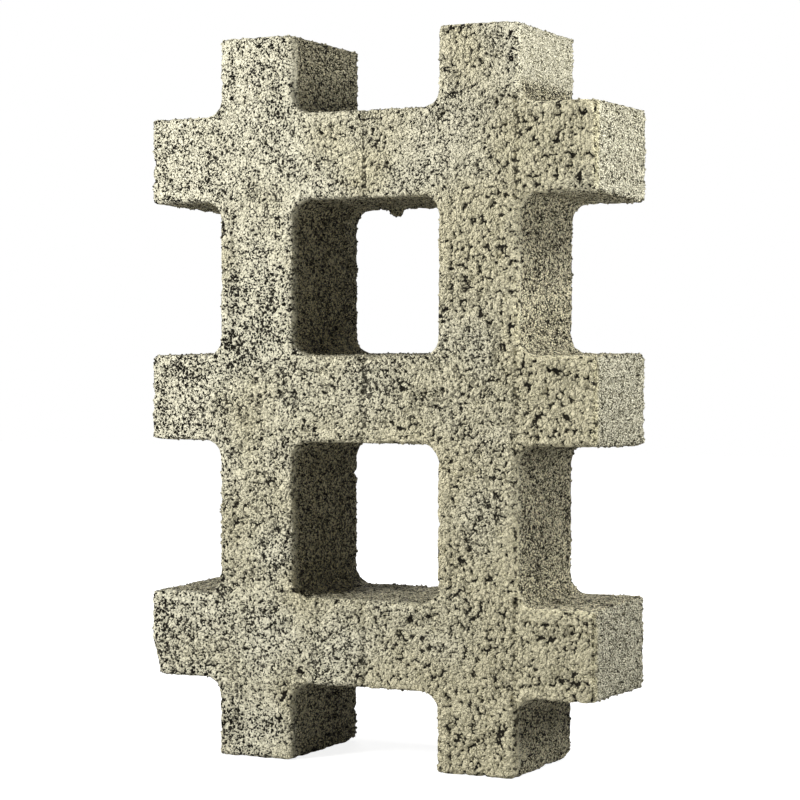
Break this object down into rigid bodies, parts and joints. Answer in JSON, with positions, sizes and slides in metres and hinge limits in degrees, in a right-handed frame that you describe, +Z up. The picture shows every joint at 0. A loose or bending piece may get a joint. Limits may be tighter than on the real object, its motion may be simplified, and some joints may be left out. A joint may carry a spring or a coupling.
{
  "type": "grass paver block",
  "caption": "Open lattice paving block of pressed concrete, crossed bars with stub ends that leave square cells for turf or gravel.",
  "frame": {"origin": "under the middle of the block, on the surface that it stands on", "axes": "+Z up along the length of the two uprights, +X along the crossbars to the right seen from the trodden face, +Y from the trodden face to the bedding face"},
  "size_m": [0.266, 0.08, 0.399],
  "materials": {
    "concrete": "rough open-grained pressed concrete, pale grey-beige with a faint green cast"
  },
  "bodies": {
    "root": {"paver_block": "concrete"}
  },
  "joints": []
}
